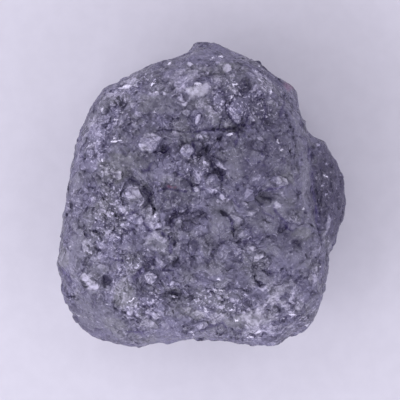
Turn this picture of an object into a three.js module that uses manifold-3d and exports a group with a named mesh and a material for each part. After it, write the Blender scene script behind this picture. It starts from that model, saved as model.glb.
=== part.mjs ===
// A rough diamond: one natural stone of many small crystals grown together.
// It lies on a flat cleavage face, with its widest outline in the plan view.
//
// Millimetres, +Z up. The origin is the middle of the stone's bounding box in plan, on the surface
// that it lies on. Shapes are worked out as distances from a centre inside the stone: a body with
// large worn faces, a lower shelf that stands out of its +X side, and a crust of faceted grains.

import * as THREE from "three";
import { ConvexHull } from "three/addons/math/ConvexHull.js";
import { ImprovedNoise } from "three/addons/math/ImprovedNoise.js";
import { mergeVertices } from "three/addons/utils/BufferGeometryUtils.js";
import Module from "manifold-3d";

// ---- Driving dimensions ---------------------------------------------------------------------

const WIDTH = 10.2; // along X
const LENGTH = 10.8; // along Y
const HEIGHT = 7.0; // along Z
const CENTRE_HEIGHT = 3.1; // of the widest level above the resting face

const GRAIN_COUNT = 1550; // crystals that show on the surface
const GRAIN_RELIEF = 0.14; // from a deep groove to the top of a tall crystal on the crown
const FLANK_SHARE = 0.5; // of that relief on the worn flanks
const PLATE_SHARE = 0.14; // of the crown's crystals that show a flat face instead of a point
const TIP_HEIGHTS = [0.1, 0.8]; // of the crystals over the form, as shares of the relief
const GROOVE_DEPTH = 0.5; // of the deepest grooves under the form, as a share of the relief
const TIP_LEAN = 0.05; // how far a tip strays from over its cell's middle, as a direction
const PLATE_TILT = 0.3; // how far a plate strays from facing as its cell does, as a direction
const PLATE_INSETS = [0.55, 0.75]; // of plates' rims, as shares of the way out to the grooves
const SHORTEST_BORDER = 0.04; // between two crystals: shorter ones shrink to a corner
const UNDERSIDE_SPACING = 1.7; // between crystals underneath, where the crown's is 1
const LUMP_CLEARANCE = 0.9; // how much wider the crystals around a lump are spaced
const LUMP_SIZE = 1.1; // across the lumps that the crystals crowd into
const LUMP_RELIEF = 0.13; // of those lumps, either way
const WARP_SIZE = 2.7; // across the slow swells of the large faces
const WARP_RELIEF = 0.14; // of those swells, either way
const OUTLINE_CALM = 0.25; // of lumps and swells that is left at the widest level

const REST_SNAP = 0.1; // a point of the surface this near to the resting plane lies in it
const EDGE_SHARPNESS = 15; // how tightly the large faces meet: higher is crisper

// The body's outline in plan, anticlockwise from the apex at +Y.
const BODY_OUTLINE = [
  [0.0, 5.42],
  [-0.42, 5.12],
  [-0.85, 4.86],
  [-1.5, 4.7],
  [-2.2, 4.42],
  [-2.75, 4.08],
  [-3.5, 3.72],
  [-3.8, 3.3],
  [-4.2, 2.45],
  [-4.6, 1.15],
  [-4.8, -0.2],
  [-4.97, -1.5],
  [-5.12, -2.45],
  [-5.0, -3.05],
  [-4.88, -3.6],
  [-4.45, -4.5],
  [-3.95, -5.0],
  [-3.1, -5.3],
  [-2.25, -5.4],
  [-1.5, -5.28],
  [-0.1, -5.13],
  [1.1, -5.26],
  [2.5, -5.38],
  [3.0, -5.1],
  [3.65, -4.8],
  [4.05, -4.2],
  [4.3, -3.3],
  [4.42, -2.4],
  [4.15, -1.3],
  [3.95, -0.3],
  [3.9, 0.8],
  [3.78, 1.8],
  [3.6, 2.45],
  [3.4, 3.15],
  [3.34, 3.62],
  [3.12, 3.92],
  [2.72, 4.14],
  [2.4, 4.32],
  [2.1, 4.62],
  [1.2, 5.05],
];

// The shelf's outline in plan, from its upper notch to where it runs back into the body.
const SHELF_OUTLINE = [
  [3.2, 2.0],
  [3.72, 2.03],
  [4.24, 1.9],
  [4.46, 1.58],
  [4.68, 1.25],
  [4.92, 0.7],
  [5.08, -0.25],
  [5.0, -0.8],
  [4.66, -1.65],
  [4.3, -2.35],
  [3.9, -2.5],
];
const SHELF_BACK = [-2.0, 0.0]; // closes the shelf's outline inside the body

// Large faces, as an outward direction and the distance of the face from the centre.
const BODY_FACES = [
  { name: "crown", facing: [-0.06, 0.05, 1], distance: 3.9 },
  { name: "crown_front", facing: [0.04, -0.26, 0.96], distance: 3.95 },
  { name: "crown_back", facing: [-0.05, 0.3, 0.95], distance: 3.95 },
  { name: "crown_left", facing: [-0.3, -0.04, 0.95], distance: 3.95 },
  { name: "crown_right", facing: [0.3, -0.08, 0.95], distance: 4.0 },
  { name: "front_left_bevel", facing: [-0.6, -0.62, 0.5], distance: 5.9 },
  { name: "back_left_bevel", facing: [-0.42, 0.62, 0.66], distance: 4.85 },
  { name: "back_right_bevel", facing: [0.66, 0.55, 0.5], distance: 4.7 },
  { name: "right_bevel", facing: [0.86, 0.02, 0.5], distance: 4.65 },
  { name: "front_bevel", facing: [0.05, -0.78, 0.62], distance: 5.15 },
  { name: "left_bevel", facing: [-0.86, 0.08, 0.5], distance: 5.15 },
  { name: "front_right_bevel", facing: [0.7, -0.52, 0.48], distance: 5.6 },
  { name: "apex_bevel", facing: [0.04, 0.82, 0.56], distance: 5.2 },
  { name: "under_left", facing: [-0.74, -0.22, -0.64], distance: 4.7 },
  { name: "under_right", facing: [0.74, -0.38, -0.56], distance: 4.7 },
  { name: "under_back", facing: [0.25, 0.72, -0.64], distance: 4.7 },
  { name: "under_back_left", facing: [-0.6, 0.56, -0.57], distance: 4.6 },
  { name: "under_front", facing: [-0.05, -0.78, -0.62], distance: 4.8 },
];
const SHELF_FACES = [
  { name: "shelf_level", facing: [0.1, 0, 1], distance: 2.3 },
  { name: "shelf_top", facing: [0.7, 0.1, 0.71], distance: 3.75 },
  { name: "shelf_under", facing: [0.72, 0.1, -0.69], distance: 4.3 },
  { name: "shelf_under_front", facing: [0.74, -0.38, -0.56], distance: 4.6 },
];

// Local features of the crown, in plan: where, how long and wide (half sizes), how the long side is
// turned from +X in degrees, and how far each stands out or sinks in. A lump is one large crystal
// with a flat face, and a groove around it.
const LUMPS = [
  { name: "left_knob", at: [-2.33, -0.1], size: [0.42, 0.36], turn: -50, rise: 0.26 },
  { name: "back_left_knob", at: [-1.98, 1.8], size: [0.5, 0.36], turn: 5, rise: 0.2 },
  { name: "back_knob", at: [-0.49, 1.55], size: [0.3, 0.28], turn: 0, rise: 0.2 },
  { name: "middle_knob", at: [0.28, 0.42], size: [0.42, 0.34], turn: -20, rise: 0.24 },
  { name: "apex_knob", at: [0.6, 4.45], size: [0.36, 0.32], turn: 0, rise: 0.16 },
  { name: "back_right_knob", at: [1.27, 2.97], size: [0.42, 0.36], turn: 30, rise: 0.2 },
  { name: "right_bar", at: [2.44, 0.39], size: [0.72, 0.26], turn: -12, rise: 0.2 },
  { name: "right_knob", at: [1.55, -0.04], size: [0.3, 0.26], turn: 60, rise: 0.18 },
  { name: "back_plate", at: [-0.28, 3.74], size: [0.6, 0.45], turn: 15, rise: 0.12 },
  { name: "left_bar", at: [-3.99, -3.05], size: [0.5, 0.22], turn: -38, rise: 0.2 },
  { name: "front_left_knob", at: [-1.87, -2.86], size: [0.36, 0.3], turn: 0, rise: 0.16 },
  { name: "pit_knob", at: [0.82, -1.0], size: [0.42, 0.4], turn: 0, rise: 0.16 },
  { name: "front_knob", at: [-0.04, -4.62], size: [0.26, 0.24], turn: 0, rise: 0.14 },
  { name: "front_plate", at: [1.75, -4.42], size: [0.8, 0.4], turn: 12, rise: 0.14 },
];
const PITS = [
  { name: "left_pit", at: [-3.35, -3.1], size: [0.34, 0.28], turn: 20, depth: 0.42 },
  { name: "front_pit", at: [-1.09, -3.46], size: [0.38, 0.24], turn: 0, depth: 0.4 },
  { name: "middle_pit", at: [0.55, 0.86], size: [0.42, 0.22], turn: -35, depth: 0.4 },
  { name: "right_pit", at: [2.05, -0.1], size: [0.36, 0.34], turn: 0, depth: 0.38 },
  { name: "right_low_pit", at: [2.86, -1.24], size: [0.32, 0.26], turn: 30, depth: 0.38 },
  { name: "right_slot", at: [3.3, -1.75], size: [0.5, 0.16], turn: -50, depth: 0.28 },
  { name: "small_pit", at: [0.74, -0.62], size: [0.2, 0.16], turn: -20, depth: 0.3 },
  { name: "curved_pit", at: [1.17, -1.1], size: [0.3, 0.15], turn: -65, depth: 0.32 },
  { name: "left_middle_pit", at: [-0.95, -0.8], size: [0.4, 0.3], turn: 80, depth: 0.34 },
  { name: "front_right_slot", at: [1.73, -2.6], size: [0.46, 0.24], turn: 62, depth: 0.28 },
  { name: "back_right_pit", at: [1.48, 3.74], size: [0.36, 0.3], turn: 0, depth: 0.32 },
  { name: "back_hollow", at: [2.15, 2.6], size: [0.5, 0.36], turn: 15, depth: 0.3 },
  { name: "back_left_pit", at: [-2.86, 3.22], size: [0.26, 0.22], turn: 0, depth: 0.24 },
  { name: "valley", at: [0.14, 1.73], size: [0.75, 0.3], turn: 45, depth: 0.22 },
];

const MOAT_RADIUS = 1.15; // of the groove around a lump, where the lump's rim is 1
const MOAT_DEPTH = 0.1;

// Cracks in plan: sunken lines, each as the points that it passes.
const CRACKS = [
  { name: "long_crack", path: [[-1.85, 2.28], [-0.6, 2.33], [1.3, 2.42]], depth: 0.24 },
  { name: "valley_crack", path: [[1.3, 2.5], [0.7, 2.1], [-0.4, 1.2]], depth: 0.22 },
  { name: "left_crack", path: [[-2.85, 0.85], [-2.1, 0.5], [-1.75, -0.4], [-1.5, -1.1]], depth: 0.2 },
  { name: "front_crack", path: [[-1.9, -2.4], [-1.0, -2.55], [-0.6, -1.7]], depth: 0.18 },
];
const LIP_STEP = 0.2; // along a crack, from a crystal on one side to the next on the other
const LIP_OFFSET = 0.16; // from a crack's line to the tips of the crystals along it

// ---- Seeded chance and noise ----------------------------------------------------------------

const SEED = 20417;

// A repeatable stream of numbers from 0 to 1.
function chance(seed) {
  let state = seed;
  return () => {
    state = (state + 0x6d2b79f5) | 0;
    let mixed = Math.imul(state ^ (state >>> 15), 1 | state);
    mixed = (mixed + Math.imul(mixed ^ (mixed >>> 7), 61 | mixed)) ^ mixed;
    return ((mixed ^ (mixed >>> 14)) >>> 0) / 4294967296;
  };
}

const noise = new ImprovedNoise();

// Noise of two octaves at a place, with features about `size` across, from about -1 to 1.
function swell(place, size, shift) {
  const at = place.clone().divideScalar(size).addScalar(shift);
  return (
    noise.noise(at.x, at.y, at.z) +
    0.5 * noise.noise(2 * at.x + 7.3, 2 * at.y + 1.9, 2 * at.z + 4.1)
  );
}

function smoothstep(low, high, value) {
  return THREE.MathUtils.smoothstep(value, low, high);
}

// ---- The large form -------------------------------------------------------------------------

const OUTLINE_SAMPLES = 900;

// Distance from the centre to a closed outline in plan, as a function of bearing in radians.
function polarOutline(points) {
  const corners = points.map(([x, y]) => new THREE.Vector3(x, y, 0));
  const curve = new THREE.CatmullRomCurve3(corners, true, "catmullrom", 0.5);
  const samples = curve
    .getPoints(OUTLINE_SAMPLES)
    .map((p) => ({ bearing: Math.atan2(p.y, p.x), reach: Math.hypot(p.x, p.y) }))
    .sort((a, b) => a.bearing - b.bearing);
  return (bearing) => {
    let low = 0;
    let high = samples.length - 1;
    while (high - low > 1) {
      const middle = (low + high) >> 1;
      if (samples[middle].bearing <= bearing) low = middle;
      else high = middle;
    }
    const a = samples[low];
    const b = samples[high];
    const share = (bearing - a.bearing) / Math.max(b.bearing - a.bearing, 1e-9);
    return THREE.MathUtils.lerp(a.reach, b.reach, THREE.MathUtils.clamp(share, 0, 1));
  };
}

// Distance along a direction to where an upright wall and some faces meet, with worn edges.
function wornMeet(direction, wallReach, faces) {
  let sum = (Math.hypot(direction.x, direction.y) / wallReach) ** EDGE_SHARPNESS;
  for (const { facing, distance } of faces) {
    const normal = new THREE.Vector3(...facing).normalize();
    sum += (Math.max(0, normal.dot(direction)) / distance) ** EDGE_SHARPNESS;
  }
  return sum ** (-1 / EDGE_SHARPNESS);
}

// How far a form reaches sideways at a bearing, at its widest level.
function widestReach(reach, bearing) {
  const direction = new THREE.Vector3();
  let widest = 0;
  for (let tilt = -40; tilt <= 40; tilt += 2) {
    const rise = THREE.MathUtils.degToRad(tilt);
    const flat = Math.cos(rise);
    direction.set(flat * Math.cos(bearing), flat * Math.sin(bearing), Math.sin(rise));
    widest = Math.max(widest, flat * reach(direction));
  }
  return widest;
}

// A form's distance from the centre as a function of direction. Worn edges take some of its width,
// so its walls are moved out until it fills its outline again.
function fillOutline(outline, faces) {
  const bearings = 360;
  const walls = new Array(bearings + 1).fill(1);
  const wallAt = (bearing) => {
    const at = ((bearing + Math.PI) / (2 * Math.PI)) * bearings;
    const low = Math.min(bearings - 1, Math.floor(at));
    return outline(bearing) * THREE.MathUtils.lerp(walls[low], walls[low + 1], at - low);
  };
  const reach = (direction) =>
    wornMeet(direction, wallAt(Math.atan2(direction.y, direction.x)), faces);
  for (let round = 0; round < 4; round++) {
    const shares = walls.map((_, i) => {
      const bearing = -Math.PI + (2 * Math.PI * i) / bearings;
      return outline(bearing) / widestReach(reach, bearing);
    });
    shares.forEach((share, i) => (walls[i] *= share));
  }
  return reach;
}

const bodyReach = fillOutline(polarOutline(BODY_OUTLINE), BODY_FACES);
const shelfReach = fillOutline(polarOutline([...SHELF_OUTLINE, SHELF_BACK]), SHELF_FACES);

// The large form's surface point in a direction, before any grain.
function formPoint(direction) {
  return direction.clone().multiplyScalar(Math.max(bodyReach(direction), shelfReach(direction)));
}

// ---- Relief ---------------------------------------------------------------------------------

// 1 in the middle, falling smoothly to 0 at the rim.
function mound(share) {
  return share < 1 ? (1 - share * share) ** 2 : 0;
}

// How far out in a feature a point lies: 0 in its middle, 1 on its rim.
function featureRadius({ at, size, turn }, point) {
  const angle = THREE.MathUtils.degToRad(turn);
  const x = point.x - at[0];
  const y = point.y - at[1];
  const along = (x * Math.cos(angle) + y * Math.sin(angle)) / size[0];
  const across = (y * Math.cos(angle) - x * Math.sin(angle)) / size[1];
  return Math.hypot(along, across);
}

function distanceToPath(path, point) {
  let least = Infinity;
  for (let i = 0; i + 1 < path.length; i++) {
    const start = new THREE.Vector3(...path[i], 0);
    const end = new THREE.Vector3(...path[i + 1], 0);
    const nearest = new THREE.Vector3();
    const flat = new THREE.Vector3(point.x, point.y, 0);
    new THREE.Line3(start, end).closestPointToPoint(flat, true, nearest);
    least = Math.min(least, nearest.distanceTo(flat));
  }
  return least;
}

// How far the named features move a point of the upper side, outwards.
function featureRise(point) {
  if (point.z < 0) return 0;
  let rise = 0;
  for (const lump of LUMPS) {
    const radius = featureRadius(lump, point);
    rise += lump.rise * mound(radius) - MOAT_DEPTH * mound(Math.abs(radius - MOAT_RADIUS) * 2);
  }
  for (const pit of PITS) rise -= pit.depth * mound(featureRadius(pit, point));
  for (const { path, depth } of CRACKS) {
    const share = 1 - distanceToPath(path, point) / LIP_OFFSET;
    if (share > 0) rise -= depth * share;
  }
  return rise;
}

// How rough the crust is: 1 on the crown, less on the worn flanks.
function roughness(direction) {
  return THREE.MathUtils.lerp(FLANK_SHARE, 1, smoothstep(0.15, 0.45, direction.z));
}

// How strongly the surface swells: little at the widest level, so that the outline holds.
function swelling(direction) {
  return THREE.MathUtils.lerp(OUTLINE_CALM, 1, smoothstep(0.1, 0.4, Math.abs(direction.z)));
}

// The surface point in a direction, pushed out by `grain` on top of the form and its features.
function surfacePoint(direction, grain) {
  const point = formPoint(direction);
  const warp = WARP_RELIEF * swell(point, WARP_SIZE, 11.7) * swelling(direction);
  const lumps = LUMP_RELIEF * swell(point, LUMP_SIZE, 5.2) * swelling(direction);
  const rise = warp + featureRise(point) + (grain + lumps) * roughness(direction);
  point.addScaledVector(direction, rise);
  const aboveRest = point.z + CENTRE_HEIGHT;
  if (Math.abs(aboveRest) < REST_SNAP) point.multiplyScalar(-CENTRE_HEIGHT / point.z);
  return point;
}

// ---- Grains ---------------------------------------------------------------------------------

// The direction from the centre to the crown above a place in plan.
function directionAbove(x, y) {
  const direction = new THREE.Vector3(x, y, 3).normalize();
  for (let step = 0; step < 12; step++) {
    const point = formPoint(direction);
    direction.set(x, y, point.z).normalize();
  }
  return direction;
}

// Seeds that are set by hand: a feature's middle, and the crystals on either side of a crack.
function featureSeeds() {
  const seeds = LUMPS.map(({ at }) => ({ direction: directionAbove(...at), flat: true }));
  for (const { at } of PITS) seeds.push({ direction: directionAbove(...at), flat: false });
  for (const { path } of CRACKS) {
    const curve = new THREE.CurvePath();
    for (let i = 0; i + 1 < path.length; i++) {
      curve.add(new THREE.LineCurve(new THREE.Vector2(...path[i]), new THREE.Vector2(...path[i + 1])));
    }
    const steps = Math.round(curve.getLength() / LIP_STEP);
    for (let i = 0; i <= steps; i++) {
      const { x, y } = curve.getPoint(i / steps);
      const along = curve.getTangent(i / steps);
      const side = i % 2 ? LIP_OFFSET : -LIP_OFFSET;
      seeds.push({ direction: directionAbove(x - side * along.y, y + side * along.x), flat: false });
    }
  }
  return seeds;
}

// The distance that grains keep from each other, as a share of the usual: finer on the crown,
// coarser underneath, and wide around a lump.
function grainSpacing(point) {
  const level = smoothstep(-2.6, 1.5, point.z);
  const usual = THREE.MathUtils.lerp(UNDERSIDE_SPACING, 1, level);
  const varied = usual * (1 + 0.3 * swell(point, 1.6, 3.1));
  if (point.z < 0) return varied;
  const lump = Math.max(...LUMPS.map((feature) => mound(featureRadius(feature, point) / 1.6)));
  return varied * (1 + LUMP_CLEARANCE * lump);
}

// Fills the surface with seeds, each the best of a few tries at keeping its distance.
function scatterSeeds(count, random) {
  const tries = 10;
  const seeds = featureSeeds();
  for (const seed of seeds) seed.point = formPoint(seed.direction);
  while (seeds.length < count) {
    let best = null;
    for (let i = 0; i < tries; i++) {
      const z = 2 * random() - 1;
      const bearing = 2 * Math.PI * random() - Math.PI;
      const flat = Math.sqrt(1 - z * z);
      const direction = new THREE.Vector3(flat * Math.cos(bearing), flat * Math.sin(bearing), z);
      const point = formPoint(direction);
      let nearest = Infinity;
      for (const seed of seeds) nearest = Math.min(nearest, seed.point.distanceToSquared(point));
      const room = Math.sqrt(nearest) / grainSpacing(point);
      if (!best || room > best.room) best = { direction, point, room };
    }
    best.flat = best.point.z > 0 && random() < PLATE_SHARE;
    seeds.push(best);
  }
  return seeds;
}

// The faces of the hull around the point that an edge leads to, anticlockwise from outside.
function facesAround(edge) {
  const faces = [];
  let turn = edge;
  do {
    faces.push(turn.face);
    turn = turn.twin.prev;
  } while (turn !== edge);
  return faces;
}

// A low pyramid: its foot is the cell's corners and its tip leans a little.
function pointedGrain(tip, corners) {
  return corners.map((corner, i) => [tip, corner, corners[(i + 1) % corners.length]]);
}

// The way that a ring of corners faces on the whole.
function ringNormal(corners) {
  const normal = new THREE.Vector3();
  corners.forEach((corner, i) => {
    normal.add(new THREE.Vector3().crossVectors(corner, corners[(i + 1) % corners.length]));
  });
  return normal.normalize();
}

// A flat face that stands out of the cell on sloping sides, tilted a little.
function flatGrain(tip, corners, tilt, inset) {
  const facing = ringNormal(corners).add(tilt).normalize();
  const plane = new THREE.Plane().setFromNormalAndCoplanarPoint(facing, tip);
  const rim = corners.map((corner) =>
    plane.projectPoint(tip.clone().lerp(corner, inset), new THREE.Vector3()),
  );
  const triangles = [];
  corners.forEach((corner, i) => {
    const next = (i + 1) % corners.length;
    triangles.push([corner, corners[next], rim[next]], [corner, rim[next], rim[i]]);
    if (i > 0 && next > 0) triangles.push([rim[0], rim[i], rim[next]]);
  });
  return triangles;
}

// The crust as one closed mesh. Each grain fills its cell between the other grains, and
// neighbours share the grooves along their borders.
function crustGeometry() {
  const random = chance(SEED);
  const randomShift = (size) =>
    new THREE.Vector3(random() - 0.5, random() - 0.5, random() - 0.5).multiplyScalar(size);
  const seeds = scatterSeeds(GRAIN_COUNT, random);
  const hull = new ConvexHull().setFromPoints(seeds.map((seed) => seed.direction));
  const edgeInto = new Map();
  const cornerOf = new Map();
  for (const face of hull.faces) {
    const edges = [0, 1, 2].map((i) => face.getEdge(i));
    for (const edge of edges) edgeInto.set(edge.head().point, edge);
    const onForm = formPoint(face.normal.clone().normalize());
    const beside = edges
      .map((edge) => cornerOf.get(edge.twin.face))
      .find((corner) => corner && corner.onForm.distanceTo(onForm) < SHORTEST_BORDER);
    const groove = -GROOVE_DEPTH * GRAIN_RELIEF * random();
    const point = surfacePoint(face.normal.clone().normalize(), groove);
    cornerOf.set(face, beside ?? { onForm, point });
  }

  const positions = [];
  for (const { direction, flat } of seeds) {
    const corners = facesAround(edgeInto.get(direction))
      .map((face) => cornerOf.get(face).point)
      .filter((corner, i, all) => corner !== all[(i + 1) % all.length]);
    if (corners.length < 3) continue;
    const leaning = direction.clone().add(randomShift(TIP_LEAN)).normalize();
    const tip = surfacePoint(leaning, GRAIN_RELIEF * THREE.MathUtils.lerp(...TIP_HEIGHTS, random()));
    const tilt = randomShift(PLATE_TILT);
    const inset = THREE.MathUtils.lerp(...PLATE_INSETS, random());
    const triangles = flat ? flatGrain(tip, corners, tilt, inset) : pointedGrain(tip, corners);
    for (const point of triangles.flat()) positions.push(...point.toArray());
  }
  const geometry = new THREE.BufferGeometry();
  geometry.setAttribute("position", new THREE.Float32BufferAttribute(positions, 3));
  return mergeVertices(geometry, 1e-4);
}

// ---- The solid ------------------------------------------------------------------------------

const wasm = await Module();
wasm.setup();

function toSolid(geometry) {
  const bare = geometry.clone();
  bare.deleteAttribute("normal");
  bare.deleteAttribute("uv");
  const merged = mergeVertices(bare, 1e-4);
  return new wasm.Manifold(
    new wasm.Mesh({
      numProp: 3,
      vertProperties: merged.attributes.position.array,
      triVerts: new Uint32Array(merged.index.array),
    }),
  );
}

function toGeometry(solid) {
  const mesh = solid.getMesh();
  const geometry = new THREE.BufferGeometry();
  geometry.setAttribute("position", new THREE.BufferAttribute(new Float32Array(mesh.vertProperties), 3));
  geometry.setIndex(new THREE.BufferAttribute(new Uint32Array(mesh.triVerts), 1));
  return geometry;
}

// Everything under the resting face, to be cut away.
function underside() {
  const block = new THREE.BoxGeometry(3 * WIDTH, 3 * LENGTH, HEIGHT);
  block.translate(0, 0, -CENTRE_HEIGHT - HEIGHT / 2);
  return toSolid(block);
}

// Scales a geometry to the stone's real size and stands it on the origin.
function fitToSize(geometry) {
  geometry.computeBoundingBox();
  const size = geometry.boundingBox.getSize(new THREE.Vector3());
  const middle = geometry.boundingBox.getCenter(new THREE.Vector3());
  geometry.translate(-middle.x, -middle.y, -geometry.boundingBox.min.z);
  geometry.scale(WIDTH / size.x, LENGTH / size.y, HEIGHT / size.z);
  return geometry;
}

const stone = fitToSize(toGeometry(toSolid(crustGeometry()).subtract(underside())));
stone.computeVertexNormals();

const diamond = new THREE.Mesh(
  stone,
  new THREE.MeshStandardMaterial({
    color: 0x6f6c84,
    roughness: 0.35,
    metalness: 0.1,
    flatShading: true,
  }),
);
diamond.name = "rough_diamond";

const group = new THREE.Group();
group.add(diamond);
export default group;
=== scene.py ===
"""A rough diamond in its finish: a crust of grown-together crystals, violet-grey and glinting.

The stone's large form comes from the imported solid. This script grows the crust on it: lumps,
crystals and grit, each layer the upper envelope of many blunt pyramids, and then the grains, pits
and creases that have places of their own. Last, the flattest faces are merged, and the stone is
fitted to the solid's box. Sizes are in millimetres, and MM turns them into metres.
"""

import math
from types import SimpleNamespace

import bmesh
import bpy
import numpy as np
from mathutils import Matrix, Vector
from mathutils.kdtree import KDTree


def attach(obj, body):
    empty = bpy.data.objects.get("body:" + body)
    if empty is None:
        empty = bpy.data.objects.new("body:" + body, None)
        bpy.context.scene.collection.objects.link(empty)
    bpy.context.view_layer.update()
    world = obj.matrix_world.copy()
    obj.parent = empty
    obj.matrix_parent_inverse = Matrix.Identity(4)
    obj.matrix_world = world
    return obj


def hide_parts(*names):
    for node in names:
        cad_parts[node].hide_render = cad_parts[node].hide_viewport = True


MM = 0.001
NODE = "rough_diamond"

# ---- Driving sizes, in millimetres -----------------------------------------------------------

WELD = 0.0001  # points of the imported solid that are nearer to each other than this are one
EDGE_CUTS = 2  # new points along each of its edges
CROWN_LEVEL = 3.0  # above this height the edges between them are halved once more
SOFTENING = 40  # rounds of smoothing that blunt its facets before the crust grows
DRAW_IN = 0.5  # share of the way to its neighbours that a point moves in such a round
PUSH_OUT = -0.52  # and the share that it then moves back, which keeps the stone's size

# Layers of crystals: how far apart they grow, and how high they stand.
CRYSTAL_LAYERS = [
    {"name": "lumps", "spacing": 0.62, "relief": 0.13, "seed": 11},
    {"name": "crystals", "spacing": 0.3, "relief": 0.1, "seed": 12},
    {"name": "grit", "spacing": 0.15, "relief": 0.065, "seed": 13},
]
SHADE_SEED = 100  # added to a layer's seed to draw its crystals' shades
FLANK_RELIEF = 0.45  # share of those layers' relief that the worn flanks keep

# A crystal's form, in spacings.
CRYSTAL_SIDES = 5
SIDE_SLOPES = (0.5, 1.4)  # gentlest and steepest
TOP_REACHES = (0.1, 0.4)  # from a flat top's middle to its rim, smallest and largest
TOP_TILT = 0.3
TALLEST = 0.7  # how much higher the highest top stands than the lowest
MIDDLE_HEIGHT = 0.2  # what stands higher rises out of the solid, and what is lower sinks in
RIVALS = 7  # nearest crystals of which the highest shows at a point

# Rounds of smoothing: the more rounds, the wider the stretch that is evened out.
START_ROUNDS = 2  # before anything grows
NORMAL_ROUNDS = 8  # for the directions that the crust grows in
GROOVE_ROUNDS = 12  # a groove lies lower than such a stretch
HOLLOW_ROUNDS = (6, 90)  # in a hollow the narrower stretch lies lower than the wider one
SKIRT_ROUNDS = 12  # for the sides just over the resting face

MOST_FACES = 190000  # of the crust, once its flattest faces are merged
REST_MARGIN = 0.35  # height over the resting face in which the crust fades out
REST_SKIRT = 1.2  # height over it in which the sides are worn round
REST_SNAP = 0.02  # points that start lower than this stay in the resting face
SHARP_FOLD = 22  # degrees: a sharper fold between two faces shows as an edge
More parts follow.
